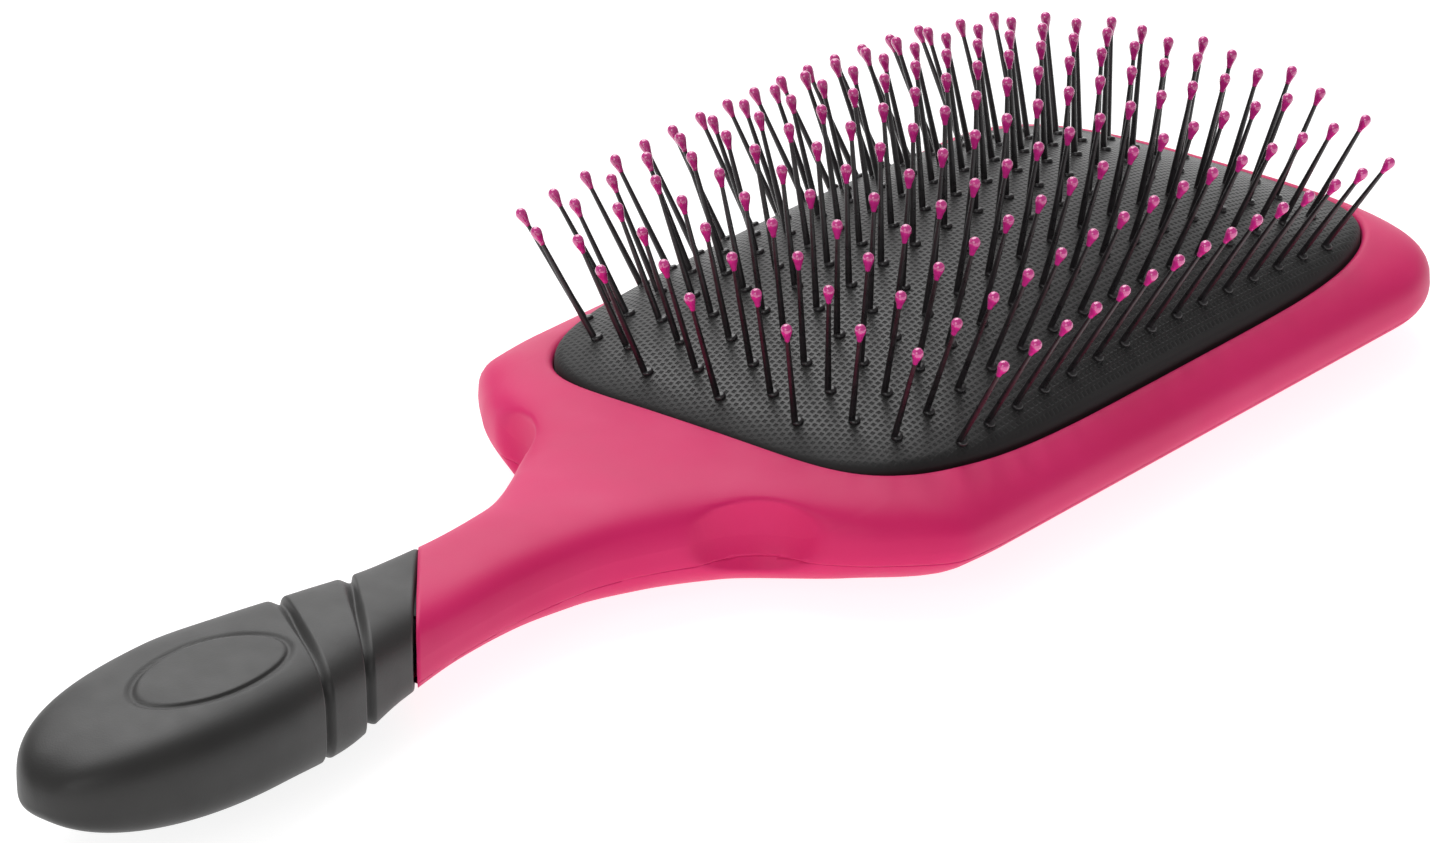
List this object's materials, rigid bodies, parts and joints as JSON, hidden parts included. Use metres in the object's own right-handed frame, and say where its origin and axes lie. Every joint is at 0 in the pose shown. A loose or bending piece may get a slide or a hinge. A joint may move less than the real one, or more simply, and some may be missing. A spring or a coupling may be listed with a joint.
{
  "type": "paddle hair brush",
  "caption": "Cushioned paddle hair brush: wide flat head with flexible ball-tipped bristles on an air cushion, slim neck and rubber grip.",
  "frame": {"origin": "centre of the head's flat back face", "axes": "+X along the brush from the handle to the far end of the head, +Z out of the back towards the bristle side, +Y across the head"},
  "size_m": [0.2404, 0.084, 0.0435],
  "materials": {
    "pink_soft_touch": "soft-touch matte",
    "pink_cover": "soft-touch matte",
    "core_plastic": "moulded",
    "grip_rubber": "satin",
    "cushion_rubber": "embossed",
    "ring_plastic": "moulded",
    "bristle_nylon": "satin",
    "tip_pink": "gloss"
  },
  "bodies": {
    "brush_body": {"head_shell": "pink_soft_touch", "back_cover": "pink_cover", "handle_core": "core_plastic", "grip_sleeve": "grip_rubber", "pad_retaining_ring": "ring_plastic"},
    "cushion": {"cushion_pad": "cushion_rubber"},
    "row_01": {"bristle_row_01": "bristle_nylon", "tip_row_01": "tip_pink"},
    "row_02": {"bristle_row_02": "bristle_nylon", "tip_row_02": "tip_pink"},
    "row_03": {"bristle_row_03": "bristle_nylon", "tip_row_03": "tip_pink"},
    "row_04": {"bristle_row_04": "bristle_nylon", "tip_row_04": "tip_pink"},
    "row_05": {"bristle_row_05": "bristle_nylon", "tip_row_05": "tip_pink"},
    "row_06": {"bristle_row_06": "bristle_nylon", "tip_row_06": "tip_pink"},
    "row_07": {"bristle_row_07": "bristle_nylon", "tip_row_07": "tip_pink"},
    "row_08": {"bristle_row_08": "bristle_nylon", "tip_row_08": "tip_pink"},
    "row_09": {"bristle_row_09": "bristle_nylon", "tip_row_09": "tip_pink"},
    "row_10": {"bristle_row_10": "bristle_nylon", "tip_row_10": "tip_pink"},
    "row_11": {"bristle_row_11": "bristle_nylon", "tip_row_11": "tip_pink"}
  },
  "joints": [
    {"name": "cushion_press", "type": "slide", "parent": "brush_body", "child": "cushion", "axis": [0, 0, -1], "range_m": [0, 0.0025], "stiffness_N_per_m": 1500, "deforming": ["cushion_pad"]},
    {"name": "row_01_flex", "type": "hinge", "parent": "cushion", "child": "row_01", "pos_m": [0, -0.0315, 0.0178], "axis": [1, 0, 0], "range_deg": [-10, 10], "stiffness_Nm_per_rad": 0.05},
    {"name": "row_02_flex", "type": "hinge", "parent": "cushion", "child": "row_02", "pos_m": [0, -0.0252, 0.0204], "axis": [1, 0, 0], "range_deg": [-10, 10], "stiffness_Nm_per_rad": 0.05},
    {"name": "row_03_flex", "type": "hinge", "parent": "cushion", "child": "row_03", "pos_m": [0, -0.0189, 0.0222], "axis": [1, 0, 0], "range_deg": [-10, 10], "stiffness_Nm_per_rad": 0.05},
    {"name": "row_04_flex", "type": "hinge", "parent": "cushion", "child": "row_04", "pos_m": [0, -0.0126, 0.0233], "axis": [1, 0, 0], "range_deg": [-10, 10], "stiffness_Nm_per_rad": 0.05},
    {"name": "row_05_flex", "type": "hinge", "parent": "cushion", "child": "row_05", "pos_m": [0, -0.0063, 0.024], "axis": [1, 0, 0], "range_deg": [-10, 10], "stiffness_Nm_per_rad": 0.05},
    {"name": "row_06_flex", "type": "hinge", "parent": "cushion", "child": "row_06", "pos_m": [0, 0, 0.0242], "axis": [1, 0, 0], "range_deg": [-10, 10], "stiffness_Nm_per_rad": 0.05},
    {"name": "row_07_flex", "type": "hinge", "parent": "cushion", "child": "row_07", "pos_m": [0, 0.0063, 0.024], "axis": [1, 0, 0], "range_deg": [-10, 10], "stiffness_Nm_per_rad": 0.05},
    {"name": "row_08_flex", "type": "hinge", "parent": "cushion", "child": "row_08", "pos_m": [0, 0.0126, 0.0233], "axis": [1, 0, 0], "range_deg": [-10, 10], "stiffness_Nm_per_rad": 0.05},
    {"name": "row_09_flex", "type": "hinge", "parent": "cushion", "child": "row_09", "pos_m": [0, 0.0189, 0.0222], "axis": [1, 0, 0], "range_deg": [-10, 10], "stiffness_Nm_per_rad": 0.05},
    {"name": "row_10_flex", "type": "hinge", "parent": "cushion", "child": "row_10", "pos_m": [0, 0.0252, 0.0204], "axis": [1, 0, 0], "range_deg": [-10, 10], "stiffness_Nm_per_rad": 0.05},
    {"name": "row_11_flex", "type": "hinge", "parent": "cushion", "child": "row_11", "pos_m": [0, 0.0315, 0.0178], "axis": [1, 0, 0], "range_deg": [-10, 10], "stiffness_Nm_per_rad": 0.05}
  ]
}
